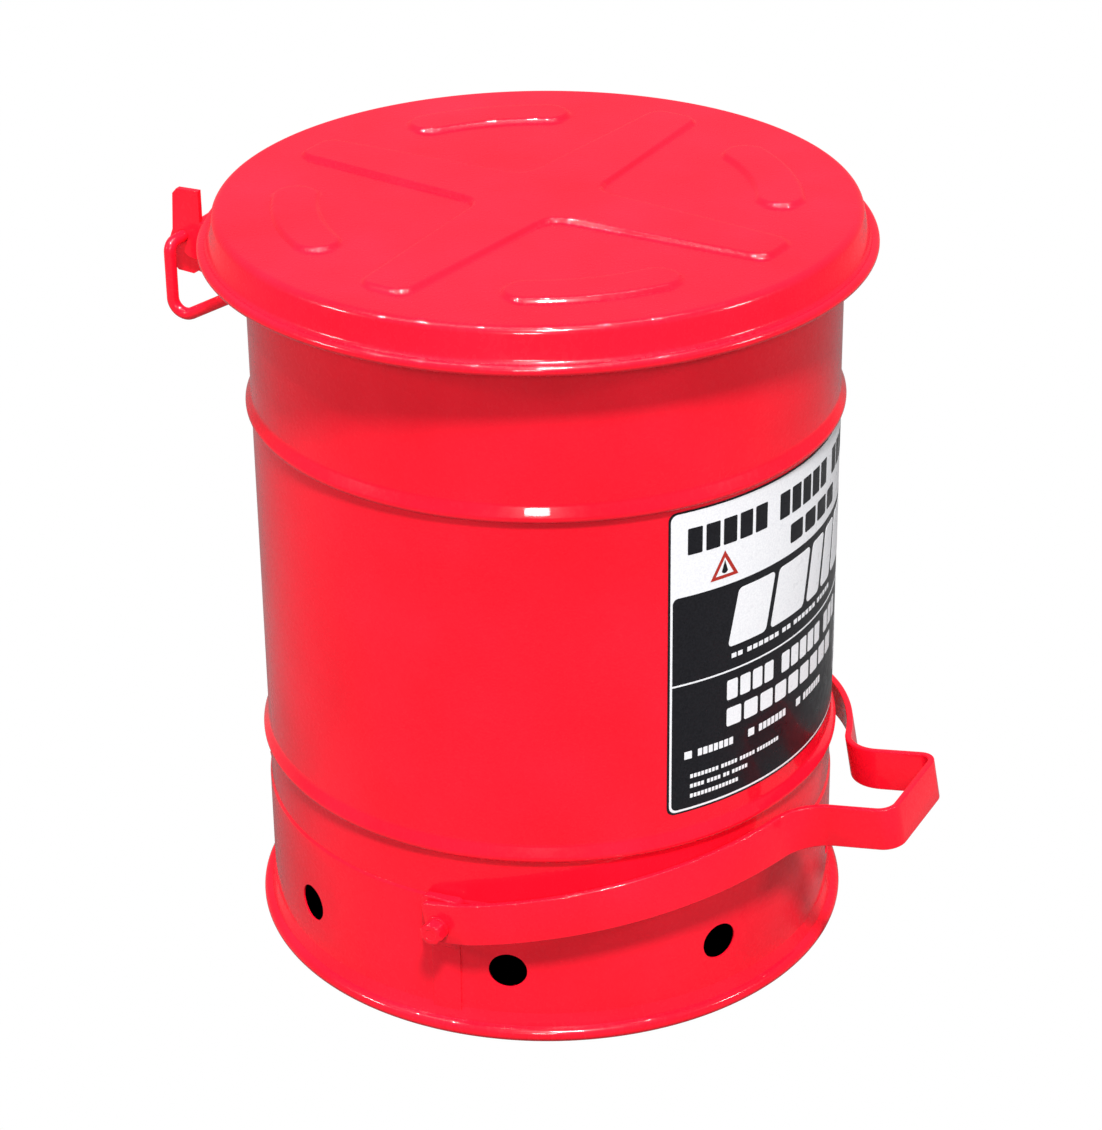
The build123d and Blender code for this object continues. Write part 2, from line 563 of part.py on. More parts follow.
with BuildPart() as cross_bar:
    x_rod(BAR_R, -39.5, 39.5, LIFT_Y, BAR_Z)
save(cross_bar.part, "cross_bar")

clip_x = EAR_X + EAR_T / 2 + 0.6
with BuildPart() as bar_clips:
    for side in (-1, 1):
        low = min(side * clip_x, side * (clip_x + 1.2))
        x_rod(7.0, low, low + 1.2, LIFT_Y, BAR_Z)
        x_rod(BAR_R, low - 1, low + 3, LIFT_Y, BAR_Z, Mode.SUBTRACT)
save(bar_clips.part, "bar_clips")

with BuildPart() as fork_clip:
    x_rod(5.5, 6.5, 7.7, LIFT_Y, TAIL_Z)
    x_rod(TAIL_PIN_R, 5, 15, LIFT_Y, TAIL_Z, Mode.SUBTRACT)
save(fork_clip.part, "fork_clip")
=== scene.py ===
"""Looks of the oily waste can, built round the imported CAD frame."""

import json
import math

import bmesh
import bpy
from mathutils import Matrix, Vector

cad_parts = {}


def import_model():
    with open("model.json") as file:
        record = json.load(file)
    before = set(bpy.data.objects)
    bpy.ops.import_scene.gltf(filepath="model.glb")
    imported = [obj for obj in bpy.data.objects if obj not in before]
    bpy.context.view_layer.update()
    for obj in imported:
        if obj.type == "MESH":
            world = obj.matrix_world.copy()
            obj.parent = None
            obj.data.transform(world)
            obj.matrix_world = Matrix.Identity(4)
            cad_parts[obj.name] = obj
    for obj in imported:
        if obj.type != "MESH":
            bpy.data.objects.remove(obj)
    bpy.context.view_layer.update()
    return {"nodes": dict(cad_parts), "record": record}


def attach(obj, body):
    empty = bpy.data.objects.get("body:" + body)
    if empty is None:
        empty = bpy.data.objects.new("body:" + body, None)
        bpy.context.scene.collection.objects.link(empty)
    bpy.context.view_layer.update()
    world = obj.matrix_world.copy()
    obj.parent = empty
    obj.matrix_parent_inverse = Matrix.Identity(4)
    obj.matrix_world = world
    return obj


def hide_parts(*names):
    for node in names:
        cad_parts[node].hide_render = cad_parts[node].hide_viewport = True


MM = 0.001
SHEET = 1.0

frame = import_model()
nodes = frame["nodes"]
scene = bpy.context.scene
scene.view_settings.view_transform = "Standard"


# ---- small geometry helpers, in millimetres ---------------------------------------------------------
def rounded(corners, step=0.6):
    """Points along a line of (x, y, fillet radius) corners, with each corner rounded."""
    out = []
    for i, (x, y, r) in enumerate(corners):
        here = Vector((x, y))
        if r <= 0 or i == 0 or i == len(corners) - 1:
            out.append((x, y))
            continue
        before = (Vector(corners[i - 1][:2]) - here).normalized()
        after = (Vector(corners[i + 1][:2]) - here).normalized()
        half = before.angle(after) / 2
        reach = r / math.tan(half)
        start, end = here + before * reach, here + after * reach
        centre = here + (before + after).normalized() * (r / math.sin(half))
        a0, sweep = arc_between(centre, start, end)
        count = max(3, int(abs(sweep) * r / step))
        for k in range(count + 1):
            a = a0 + sweep * k / count
            out.append((centre.x + r * math.cos(a), centre.y + r * math.sin(a)))
    return out


def arc_between(centre, start, end):
    """Start angle and signed sweep of the shorter arc between two points."""
    a0 = math.atan2(start[1] - centre[1], start[0] - centre[0])
    a1 = math.atan2(end[1] - centre[1], end[0] - centre[0])
    return a0, (a1 - a0 + math.pi) % (2 * math.pi) - math.pi


def arc(cx, cy, r, from_deg, to_deg, count=14):
    """Points along an arc."""
    angles = [math.radians(from_deg + (to_deg - from_deg) * k / count) for k in range(count + 1)]
    return [(cx + r * math.cos(a), cy + r * math.sin(a)) for a in angles]


def split(points, longest):
    """The same line with its long runs divided."""
    out = [points[0]]
    for a, b in zip(points, points[1:]):
        n = max(1, math.ceil(math.dist(a, b) / longest))
        out += [(a[0] + (b[0] - a[0]) * k / n, a[1] + (b[1] - a[1]) * k / n) for k in range(1, n + 1)]
    return out


def offset(points, distance):
    """The line moved to its left by a distance."""
    out = []
    for i, p in enumerate(points):
        a, b = points[max(i - 1, 0)], points[min(i + 1, len(points) - 1)]
        d = Vector((b[0] - a[0], b[1] - a[1])).normalized()
        out.append((p[0] - d.y * distance, p[1] + d.x * distance))
    return out


def new_piece(name, bm, body, material, stands_for=(), sharp_deg=None):
    """Object from a bmesh in millimetres, smooth shaded, riding on a CAD body."""
    bmesh.ops.remove_doubles(bm, verts=bm.verts, dist=0.0005)
    bmesh.ops.recalc_face_normals(bm, faces=bm.faces)
    mesh = bpy.data.meshes.new(name)
    bm.to_mesh(mesh)
    bm.free()
    mesh.transform(Matrix.Scale(MM, 4))
    mesh.shade_smooth()
    if sharp_deg:
        mesh.set_sharp_from_angle(angle=math.radians(sharp_deg))
    piece = bpy.data.objects.new(name, mesh)
    scene.collection.objects.link(piece)
    for m in material if isinstance(material, list) else [material]:
        mesh.materials.append(m)
    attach(piece, body)
    if stands_for:
        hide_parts(*stands_for)
    return piece


def revolve(bm, outline, count, closed=True, lift=None, lifted=()):
    """Surface of revolution of a line in (radius, height). lift(x, y) raises the points in lifted."""
    rings = []
    for i, (r, z) in enumerate(outline):
        if r < 1e-6:
            rings.append([bm.verts.new((0, 0, z + (lift(0, 0) if lift and i in lifted else 0)))])
            continue
        ring = []
        for k in range(count):
            a = 2 * math.pi * k / count
            x, y = r * math.cos(a), r * math.sin(a)
            ring.append(bm.verts.new((x, y, z + (lift(x, y) if lift and i in lifted else 0))))
        rings.append(ring)
    pairs = list(zip(rings, rings[1:])) + ([(rings[-1], rings[0])] if closed else [])
    for a, b in pairs:
        for k in range(count):
            j = (k + 1) % count
            face = [a[k % len(a)], a[j % len(a)], b[j % len(b)], b[k % len(b)]]
            face = list(dict.fromkeys(face))
            if len(face) > 2:
                bm.faces.new(face)


def join_rings(bm, rings):
    """Faces between each ring of vertices and the next."""
    for a, b in zip(rings, rings[1:]):
        for k in range(len(a)):
            j = (k + 1) % len(a)
            bm.faces.new([a[k], a[j], b[j], b[k]])


def sheet_outline(outer, thick=SHEET):
    """Closed outline of a sheet whose visible side is the given line."""
    return outer + offset(outer, -thick)[::-1]


def ring_point(radius, degrees, z):
    """Point round the can. The angle runs from the pedal (-Y) towards -X."""
    a = math.radians(degrees)
    return Vector((-radius * math.sin(a), -radius * math.cos(a), z))


def patch(bm, mid_deg, mid_z, width, height, corner, radius, thick, slant=0.0, index=0, columns=24):
    """Curved panel with round corners on the can. slant shifts its top, and index is its material."""
    corner = min(corner, width / 2 - 0.01, height / 2 - 0.01)
    levels = [-height / 2 + corner * (1 - math.cos(math.pi / 2 * k / 6)) for k in range(7)]
    levels += [-v for v in reversed(levels)]
    grid = []
    for v in levels:
        inset = corner - math.sqrt(max(0.0, corner ** 2 - max(0.0, abs(v) - height / 2 + corner) ** 2))
        row = []
        for k in range(columns + 1):
            u = (width / 2 - inset) * (2 * k / columns - 1) + slant * v
            row.append((mid_deg - math.degrees(u / radius), mid_z + v))
        grid.append(row)
    front = [[bm.verts.new(ring_point(radius + thick, d, z)) for d, z in row] for row in grid]
    for a, b in zip(front, front[1:]):
        for k in range(columns):
            bm.faces.new([a[k], a[k + 1], b[k + 1], b[k]]).material_index = index
    rim = front[0] + [r[-1] for r in front[1:-1]] + front[-1][::-1] + [r[0] for r in front[-2:0:-1]]
    back = [bm.verts.new((v.co.x * radius / (radius + thick), v.co.y * radius / (radius + thick), v.co.z))
            for v in rim]
    for k in range(len(rim)):
        j = (k + 1) % len(rim)
        bm.faces.new([rim[k], back[k], back[j], rim[j]]).material_index = index


def cut(piece, tools):
    """Takes the tools away from a piece and deletes them."""
    for tool in tools:
        cutter = piece.modifiers.new("cut", "BOOLEAN")
        cutter.object, cutter.operation, cutter.solver = tool, "DIFFERENCE", "EXACT"
    dg = bpy.context.evaluated_depsgraph_get()
    mesh = bpy.data.meshes.new_from_object(piece.evaluated_get(dg))
    piece.modifiers.clear()
    piece.data = mesh
    for tool in tools:
        bpy.data.objects.remove(tool)


def drill(centre, direction, radius, length, stretch=0.0, sides=64):
    """Round or slotted cutter. stretch is the slot's extra height."""
    bm = bmesh.new()
    z = Vector(direction).normalized()
    up = Vector((0, 0, 1)) if abs(z.z) < 0.9 else Vector((0, 1, 0))
    x = up.cross(z).normalized()
    y = z.cross(x)
    loops = []
    for end in (-0.5, 0.5):
        loop = []
        for k in range(sides):
            a = 2 * math.pi * (k + 0.5) / sides
            lift = stretch / 2 * (1 if math.sin(a) > 0 else -1)
            p = Vector(centre) + z * length * end + x * radius * math.cos(a)
            loop.append(bm.verts.new((p + y * (radius * math.sin(a) + lift)) * MM))
        loops.append(loop)
    for k in range(sides):
        j = (k + 1) % sides
        bm.faces.new([loops[0][k], loops[0][j], loops[1][j], loops[1][k]])
    bm.faces.new(loops[0])
    bm.faces.new(loops[1])
    bmesh.ops.recalc_face_normals(bm, faces=bm.faces)
    mesh = bpy.data.meshes.new("drill")
    bm.to_mesh(mesh)
    bm.free()
    tool = bpy.data.objects.new("drill", mesh)
    scene.collection.objects.link(tool)
    return tool


# ---- materials ---------------------------------------------------------------------------------------
def material(name, rough, metallic=0.0, coat=0.0, coat_rough=0.05, ior=1.5):
    """Principled material and its shader."""
    m = bpy.data.materials.new(name)
    m.use_nodes = True
    shader = m.node_tree.nodes["Principled BSDF"]
    shader.inputs["Roughness"].default_value = rough
    shader.inputs["Metallic"].default_value = metallic
    shader.inputs["Coat Weight"].default_value = coat
    shader.inputs["Coat Roughness"].default_value = coat_rough
    shader.inputs["IOR"].default_value = ior
    return m, shader


def add_node(m, kind, **settings):
    """New node, with settings given by attribute name, or by socket name after in_."""
    node = m.node_tree.nodes.new(kind)
    for key, value in settings.items():
        if key.startswith("in_"):
            node.inputs[key[3:].replace("_", " ")].default_value = value
        else:
            setattr(node, key, value)
    return node


def link(m, source, target):
    m.node_tree.links.new(source, target)


def noise(m, scale, detail=2.0, rough=0.5):
    """Noise in the object's own coordinates."""
    where = add_node(m, "ShaderNodeTexCoord")
    node = add_node(m, "ShaderNodeTexNoise", in_Scale=scale, in_Detail=detail, in_Roughness=rough)
    link(m, where.outputs["Object"], node.inputs["Vector"])
    return node.outputs["Fac"]


def ramp(m, source, stops):
    """Colour ramp over (position, colour) stops."""
    node = add_node(m, "ShaderNodeValToRGB")
    while len(node.color_ramp.elements) < len(stops):
        node.color_ramp.elements.new(0.5)
    for element, (position, colour) in zip(node.color_ramp.elements, stops):
        element.position = position
        element.color = (*colour, 1)
    link(m, source, node.inputs["Fac"])
    return node.outputs["Color"]


def remap(m, source, low, high, from_low=0.3, from_high=0.7):
    """Value moved from one range to another."""
    node = add_node(m, "ShaderNodeMapRange")
    for key, value in zip(("From Min", "From Max", "To Min", "To Max"), (from_low, from_high, low, high)):
        node.inputs[key].default_value = value
    link(m, source, node.inputs["Value"])
    return node.outputs["Result"]


def bumps(m, shader, layers, edge_mm=0.0):
    """Bump from (scale, strength, distance in mm) noise layers, over rounded edges."""
    normal = None
    if edge_mm:
        normal = add_node(m, "ShaderNodeBevel", samples=4, in_Radius=edge_mm * MM).outputs["Normal"]
    for scale, strength, distance in layers:
        node = add_node(m, "ShaderNodeBump", in_Strength=strength, in_Distance=distance * MM)
        link(m, noise(m, scale, 2.5), node.inputs["Height"])
        if normal:
            link(m, normal, node.inputs["Normal"])
        normal = node.outputs["Normal"]
    link(m, normal, shader.inputs["Normal"])
    link(m, normal, shader.inputs["Coat Normal"])


def red_paint(name, edge_mm=0.0, peel=0.14):
    """Gloss red enamel: slow colour drift, orange peel, and fine grain in the gloss."""
    m, shader = material(name, 0.24, coat=0.5, coat_rough=0.03)
    shader.inputs["Specular IOR Level"].default_value = 0.12
    drift = ramp(m, noise(m, 14, 3), [(0.25, (0.80, 0.0035, 0.017)), (0.55, (0.88, 0.0055, 0.022)),
                                      (0.85, (0.93, 0.008, 0.028))])
    link(m, drift, shader.inputs["Base Color"])
    link(m, remap(m, noise(m, 260, 3), 0.20, 0.32), shader.inputs["Roughness"])
    bumps(m, shader, [(330, peel, 0.05), (1300, 0.05, 0.02)], edge_mm)
    return m


def plain_film(name, colour, dark, rough=0.32):
    """Printed vinyl, with a little ink mottle."""
    m, shader = material(name, rough, coat=0.12, coat_rough=0.08)
    shader.inputs["Specular IOR Level"].default_value = 0.15
    link(m, ramp(m, noise(m, 900, 3), [(0.35, dark), (0.65, colour)]), shader.inputs["Base Color"])
    link(m, remap(m, noise(m, 180, 2), rough - 0.06, rough + 0.08), shader.inputs["Roughness"])
    bumps(m, shader, [(420, 0.15, 0.04)])
    return m


def bare_metal(name, colour, rough):
    """Plain steel or bronze with fine grain and dull spots."""
    m, shader = material(name, rough, metallic=1.0)
    lighter = tuple(min(1.0, c * 1.25) for c in colour)
    link(m, ramp(m, noise(m, 240, 4), [(0.3, colour), (0.7, lighter)]), shader.inputs["Base Color"])
    link(m, remap(m, noise(m, 520, 3), rough - 0.1, rough + 0.15), shader.inputs["Roughness"])
    bumps(m, shader, [(700, 0.25, 0.05)], 0.3)
    return m


PAINT = red_paint("paint_sheet")
PAINT_EDGED = red_paint("paint_fittings", edge_mm=0.7)
STEEL = bare_metal("zinc_steel", (0.42, 0.43, 0.44), 0.35)
BRONZE = bare_metal("bush_bronze", (0.45, 0.27, 0.11), 0.4)
INK = plain_film("film_black", (0.012, 0.012, 0.015), (0.006, 0.006, 0.008))
WHITE = plain_film("film_white", (0.80, 0.80, 0.82), (0.72, 0.72, 0.75))
SIGN_RED = plain_film("film_red", (0.42, 0.03, 0.02), (0.34, 0.02, 0.015))
GREY = plain_film("film_grey", (0.50, 0.51, 0.53), (0.30, 0.31, 0.33))
LABEL_COLOURS = [INK, WHITE, SIGN_RED, GREY]

for node_name, node in nodes.items():
    slot_name = next(s["material_slot"] for s in frame["record"]["subparts"] if s["node"] == node_name)
    node.data.materials.clear()
    node.data.materials.append({"red_paint": PAINT_EDGED, "bare_steel": STEEL, "bronze_bush": BRONZE,
                                "label_film": INK}[slot_name])

# ---- can shell: two beads and a rolled top edge ------------------------------------------------------
BODY_R, BODY_TOP, CURL = 175.0, 462.0, 3.2
WALL_R, WALL_FOOT = BODY_R - SHEET, 88.0
BEAD_LEVELS = (123.0, 343.0)
SIDES = 512
SMOOTH_BELOW = 40


def can_shell():
    """Wall of the can, with its beads and its curl."""
    line = [(WALL_R, WALL_FOOT, 0)]
    for z in BEAD_LEVELS:
        line += [(WALL_R, z, 0.6), (WALL_R + 3.2, z + 1.2, 1.2), (WALL_R + 3.4, z + 3.2, 1.8),
                 (WALL_R, z + 10, 7)]
    curl_r, curl_z = WALL_R + CURL, BODY_TOP - CURL
    line.append((WALL_R, curl_z - 1.0, 0))
    outer = split(rounded(line), 12.0) + arc(curl_r, curl_z, CURL, 175, -96, 16)
    bm = bmesh.new()
    revolve(bm, sheet_outline(outer), SIDES)
    new_piece("can_shell", bm, "can", PAINT, ["body_shell"], SMOOTH_BELOW)


# ---- skirt with vents, arm slot and rolled foot -----------------------------------------------------
SKIRT_R, SKIRT_TOP = BODY_R + SHEET, 92.0
FOOT_R, FOOT_Z, FOOT_CURL = 179.2, 4.2, 4.5
VENT_ANGLES, VENT_Z, VENT_R = (28.0, 71.2, 118.6, 163.0, 208.0, 252.0, 297.0, 342.0), 46.0, 11.5
ARM_SLOT_Z, ARM_SLOT_R, ARM_SLOT_STRETCH = 55.5, 7.0, 39.0
PIVOT, BUSH_R = Vector((0, -21.5, 78.2)), 8.0
CUT_LENGTH = 16
LAP_ANGLE, LAP_Z, LAP_W, LAP_H, LAP_T = 83.4, 51.9, 17.8, 78.0, 1.1


def skirt():
    """Skirt with its foot rolled, then its holes cut."""
    line = [(SKIRT_R - 0.9, SKIRT_TOP, 0), (SKIRT_R, 90.4, 0.8), (SKIRT_R, 14.0, 5), (FOOT_R - 0.5, 9.0, 0)]
    outline = split(rounded(line), 10.0)
    outline += [(r, max(z, 0.0)) for r, z in arc(FOOT_R, FOOT_Z, FOOT_CURL, 84, -185, 30)]
    outline += [(r, max(z, 0.4)) for r, z in arc(FOOT_R, FOOT_Z, FOOT_CURL - SHEET, -185, 90, 20)]
    outline += [(SKIRT_R - SHEET, z) for z in (19.0, 55.0, SKIRT_TOP)]
    bm = bmesh.new()
    revolve(bm, outline, SIDES)
    piece = new_piece("skirt", bm, "can", PAINT, ["base_skirt"], SMOOTH_BELOW)
    tools = [drill(ring_point(SKIRT_R, d, VENT_Z), ring_point(1, d, 0), VENT_R, CUT_LENGTH)
             for d in VENT_ANGLES]
    tools.append(drill((0, SKIRT_R, ARM_SLOT_Z), (0, 1, 0), ARM_SLOT_R, CUT_LENGTH, ARM_SLOT_STRETCH))
    tools += [drill((side * SKIRT_R, PIVOT.y, PIVOT.z), (1, 0, 0), BUSH_R, CUT_LENGTH) for side in (-1, 1)]
    cut(piece, tools)
    piece.data.shade_smooth()
    piece.data.set_sharp_from_angle(angle=math.radians(SMOOTH_BELOW))


def skirt_lap():
    """Raised strip where the skirt's ends lap."""
    bm = bmesh.new()
    patch(bm, LAP_ANGLE, LAP_Z, LAP_W, LAP_H, 0.8, SKIRT_R - 0.2, LAP_T)
    new_piece("skirt_lap", bm, "can", PAINT_EDGED, sharp_deg=35)


# ---- lid: pressed cross and arcs, sloping wall, rolled edge -----------------------------------------
LID_TOP, LID_R, LID_BACK = 464.0, 187.7, 4.0
LID_SIDES, FLAT_STEP, FLAT_COUNT = 720, 1.25, 142
LID_CURL_R, LID_CURL_Z, LID_CURL = 195.0, 442.3, 3.3
EMBOSS, EMBOSS_SLOPE, EMBOSS_LIMIT = 2.5, 2.2, 178.0
EMBOSS_TURN = math.radians(-5.0)
ARM_ROOT, ARM_TIP, ARM_REACH, TIP_ROUND, ROOT_ROUND = 24.0, 15.5, 160.0, 9.0, 12.0
ARC_R, ARC_HALF, ARC_SPAN = 140.5, 13.5, math.radians(15.0)
QUARTER = math.pi / 2


def past_cross(r, a):
    """How far a point at a radius and angle lies outside the cross. Inside, it is negative."""
    a -= round(a / QUARTER) * QUARTER
    u, v = r * math.cos(a), abs(r * math.sin(a))
    half = ARM_ROOT + (ARM_TIP - ARM_ROOT) * max(0.0, u - ARM_ROOT) / (ARM_REACH - ARM_ROOT)
    past = max(u - ARM_REACH, v - half)
    if u > ARM_REACH - TIP_ROUND and v > half - TIP_ROUND:
        past = math.hypot(u - ARM_REACH + TIP_ROUND, v - half + TIP_ROUND) - TIP_ROUND
    root = ARM_ROOT + ROOT_ROUND
    if u < root and v < root:
        past = min(past, ROOT_ROUND - math.hypot(root - u, root - v))
    return past


def past_arcs(r, a):
    """How far a point lies outside the round-ended arcs, one between each two arms."""
    off = abs(a - (math.floor(a / QUARTER) + 0.5) * QUARTER)
    if off <= ARC_SPAN:
        return abs(r - ARC_R) - ARC_HALF
    across = r * math.cos(off) - ARC_R * math.cos(ARC_SPAN)
    return math.hypot(across, r * math.sin(off) - ARC_R * math.sin(ARC_SPAN)) - ARC_HALF


def lid_lift(x, y):
    """Height of the pressing at a point of the lid's top."""
    r, a = math.hypot(x, y), math.atan2(y, x) - EMBOSS_TURN
    t = min(1.0, max(0.0, 0.5 - min(past_cross(r, a), past_arcs(r, a)) / EMBOSS_SLOPE))
    return EMBOSS * t * t * (3 - 2 * t)


def lid_pressing():
    """Lid turned about its axis, with the pressing raised, then set back on the can."""
    line = [(181.0, LID_TOP, 0), (LID_R + 0.4, LID_TOP, 5.0), (192.3, 446.5, 3.0), (193.6, 445.3, 0)]
    outer = [(k * FLAT_STEP, LID_TOP) for k in range(FLAT_COUNT)] + split(rounded(line), 6.0)
    outer += arc(LID_CURL_R, LID_CURL_Z, LID_CURL, 108, -190, 26)
    outline = sheet_outline(outer)
    lifted = set(i for i, (r, z) in enumerate(outline) if r < EMBOSS_LIMIT and z > LID_TOP - 4)
    bm = bmesh.new()
    revolve(bm, outline, LID_SIDES, closed=False, lift=lid_lift, lifted=lifted)
    bmesh.ops.translate(bm, verts=bm.verts, vec=(0, LID_BACK, 0))
    new_piece("lid_pressing", bm, "lid", PAINT, ["lid_shell"], 50)


# ---- label: film with a white border, plain bars, blocks and a simple sign --------------------------
LABEL_LOW, LABEL_HIGH, LABEL_HALF_W = 144.0, 340.0, 122.2
LABEL_W, LABEL_H = 2 * LABEL_HALF_W, LABEL_HIGH - LABEL_LOW
FILM_T, LAYER_T = 0.3, 0.05
BLACK, WHITE_INK, RED_INK, GREY_INK = range(len(LABEL_COLOURS))
FULL_COLUMNS = 96


def label_film():
    """The film itself."""
    bm = bmesh.new()
    patch(bm, 0, (LABEL_LOW + LABEL_HIGH) / 2, LABEL_W, LABEL_H, 5.0, BODY_R, FILM_T, index=BLACK,
          columns=FULL_COLUMNS)
    new_piece("label_film", bm, "can", LABEL_COLOURS, ["label"], 35)


def label_bar(bm, left, bottom, width, height, index, corner, layer=3, columns=6, slant=0.0):
    """Bar on the label, placed by its left and lower edges from the label's lower left corner."""
    degrees = -math.degrees((left + width / 2 - LABEL_HALF_W) / BODY_R)
    patch(bm, degrees, LABEL_LOW + bottom + height / 2, width, height, corner, BODY_R + FILM_T,
          LAYER_T * layer, slant, index, columns)


def words(bm, left, bottom, counts, width, height, gap, space, index, corner):
    """Line of words, each a row of equal blocks, from its lower left corner."""
    for count in counts:
        for k in range(count):
            label_bar(bm, left + k * (width + gap), bottom, width, height, index, corner)
        left = left + count * (width + gap) + space


def sign(bm, corners, index, layer):
    """Flat polygon on the label, given as (across, up) from its lower left corner."""
    def on_label(x, y):
        degrees = -math.degrees((x - LABEL_HALF_W) / BODY_R)
        return bm.verts.new(ring_point(BODY_R + FILM_T + LAYER_T * layer, degrees, LABEL_LOW + y))

    points = [Vector(c) for c in corners]
    rim = []
    for a, b in zip(points, points[1:] + points[:1]):
        rim += [on_label(*a.lerp(b, k / 6)) for k in range(6)]
    hub = on_label(sum(c[0] for c in corners) / len(corners), sum(c[1] for c in corners) / len(corners))
    for k in range(len(rim)):
        bm.faces.new([rim[k], rim[(k + 1) % len(rim)], hub]).material_index = index


def label_fields(bm):
    """White ground inside a black edge, and the black field below with a line across it."""
    label_bar(bm, 1.2, 1.2, LABEL_W - 2.4, LABEL_H - 2.4, WHITE_INK, 4.4, 1, FULL_COLUMNS)
    label_bar(bm, 2.6, 2.6, LABEL_W - 5.2, 139.5, BLACK, 3.6, 2, FULL_COLUMNS)
    label_bar(bm, 2.6, 84.8, LABEL_W - 5.2, 1.1, WHITE_INK, 0.3, 3, FULL_COLUMNS)


def label_lines(bm):
    """Lines of words from the top down, and the large slanted bars."""
    words(bm, 12.0, 168.0, (5, 5, 5), 9.6, 16.5, 2.4, 9.0, BLACK, 0.8)
    words(bm, 92.0, 148.5, (4,), 13.5, 12.5, 3.0, 0.0, BLACK, 1.5)
    for width, left in ((30.0, 44.0), (34.0, 78.0), (17.0, 116.0), (17.0, 137.0), (34.0, 158.0)):
        label_bar(bm, left, 101.0, width, 36.0, WHITE_INK, 3.0, 5, 14, slant=0.22)
    words(bm, 43.0, 93.0, (2, 6, 2, 6, 5), 3.6, 3.0, 1.1, 2.6, WHITE_INK, 0.3)
    words(bm, 40.0, 66.0, (4, 5, 3), 8.0, 13.0, 2.0, 6.0, WHITE_INK, 1.2)
    words(bm, 40.0, 48.5, (9,), 11.0, 12.0, 2.4, 0.0, WHITE_INK, 1.4)


def label_small_print(bm):
    """Three boxes with a word each, three lines of small print, and a square of dots."""
    for k in range(3):
        label_bar(bm, 11.0 + 46.0 * k, 35.5, 5.0, 5.0, WHITE_INK, 0.4, columns=4)
        words(bm, 20.0 + 46.0 * k, 35.6, (7,), 2.9, 4.8, 0.8, 0.0, WHITE_INK, 0.3)
    for k, counts in enumerate(((8, 5, 5, 8), (4, 4, 2, 5), (14,))):
        words(bm, 15.0, 22.0 - 6.6 * k, counts, 1.9, 2.6, 0.6, 1.6, WHITE_INK, 0.2)
    label_bar(bm, 176.0, 22.0, 36.0, 36.0, GREY_INK, 2.0, columns=12)
    for k in range(9):
        label_bar(bm, 180.0 + 10.5 * (k % 3), 26.0 + 10.5 * (k // 3), 7.0, 7.0, BLACK, 0.6, 4, 4)


def label_sign(bm):
    """Red triangle with a white middle and a black drop."""
    for grow, index, layer in ((0.0, RED_INK, 3), (2.2, WHITE_INK, 4)):
        sign(bm, [(27.0 + grow * 1.7, 147.0 + grow), (47.0 - grow * 1.7, 147.0 + grow),
                  (37.0, 164.5 - 2 * grow)], index, layer)
    angles = [math.radians(200 + 14 * k) for k in range(11)]
    drop = [(37.0 + 2.3 * math.cos(a), 152.4 + 2.3 * math.sin(a)) for a in angles]
    sign(bm, drop + [(37.0, 158.6)], BLACK, 5)


def label_print():
    """Everything printed on the film."""
    bm = bmesh.new()
    label_fields(bm)
    label_lines(bm)
    label_small_print(bm)
    label_sign(bm)
    new_piece("label_print", bm, "can", LABEL_COLOURS, sharp_deg=35)


# ---- pedal lever: strap on edge -----------------------------------------------------------------------
TILT, STRAP_T, STRAP_W, STRAP_EDGE = math.radians(10.5), 4.0, 26.5, 0.9
HOOP_R, HOOP_END_Y, HOOP_AHEAD, END_ARC = 188.5, 18.5, 4.0, 40.0
LOOP_HALF, LOOP_FRONT, LOOP_BEND, LOOP_CORNER = 36.0, 246.0, 28.0, 10.0
RISE, PAST, ROUND_LOW, ROUND_TOP = 2.6, 7.8, 12.0, 2.0
END_ANGLE = math.asin((HOOP_END_Y - PIVOT.y) / HOOP_R)
FRONT_ANGLE = math.asin((LOOP_HALF + LOOP_BEND) / (HOOP_R + LOOP_BEND))
HOOP_Y = -PIVOT.y - HOOP_AHEAD
STRAP_X = (HOOP_R - END_ARC) * math.cos(END_ANGLE) + END_ARC


def lever_half():
    """Right half of the strap's centre line in the lever's plane, from the bolt end to the bar's middle."""
    end_c = ((HOOP_R - END_ARC) * math.cos(END_ANGLE), HOOP_Y - (HOOP_R - END_ARC) * math.sin(END_ANGLE))
    line = split([(STRAP_X, PAST), (STRAP_X, end_c[1])], 0.8)
    line += arc(end_c[0], end_c[1], END_ARC, 0, -math.degrees(END_ANGLE), 8)[1:]
    line += arc(0, HOOP_Y, HOOP_R, -math.degrees(END_ANGLE), math.degrees(FRONT_ANGLE) - 90, 60)[1:]
    bend_c = ((HOOP_R + LOOP_BEND) * math.sin(FRONT_ANGLE),
              HOOP_Y - (HOOP_R + LOOP_BEND) * math.cos(FRONT_ANGLE))
    line += arc(bend_c[0], bend_c[1], LOOP_BEND, 90 + math.degrees(FRONT_ANGLE), 180, 18)[1:]
    front = HOOP_Y - LOOP_FRONT
    line += arc(LOOP_HALF - LOOP_CORNER, front + LOOP_CORNER, LOOP_CORNER, 0, -90, 12)
    line.append((0.0, front))
    return line


def strap_section():
    """Outline of the strap's section, a rectangle with round edges."""
    half_t, half_w = STRAP_T / 2 - STRAP_EDGE, STRAP_W / 2 - STRAP_EDGE
    outline = []
    for k, (u, v) in enumerate(((1, 1), (-1, 1), (-1, -1), (1, -1))):
        outline += arc(u * half_t, v * half_w, STRAP_EDGE, 90 * k, 90 * k + 90, 4)
    return outline


def rounded_off(radius, from_end):
    """What a round corner takes off the strap's half width at a distance from its end."""
    return radius - math.sqrt(max(0.0, radius ** 2 - max(0.0, radius - from_end) ** 2))


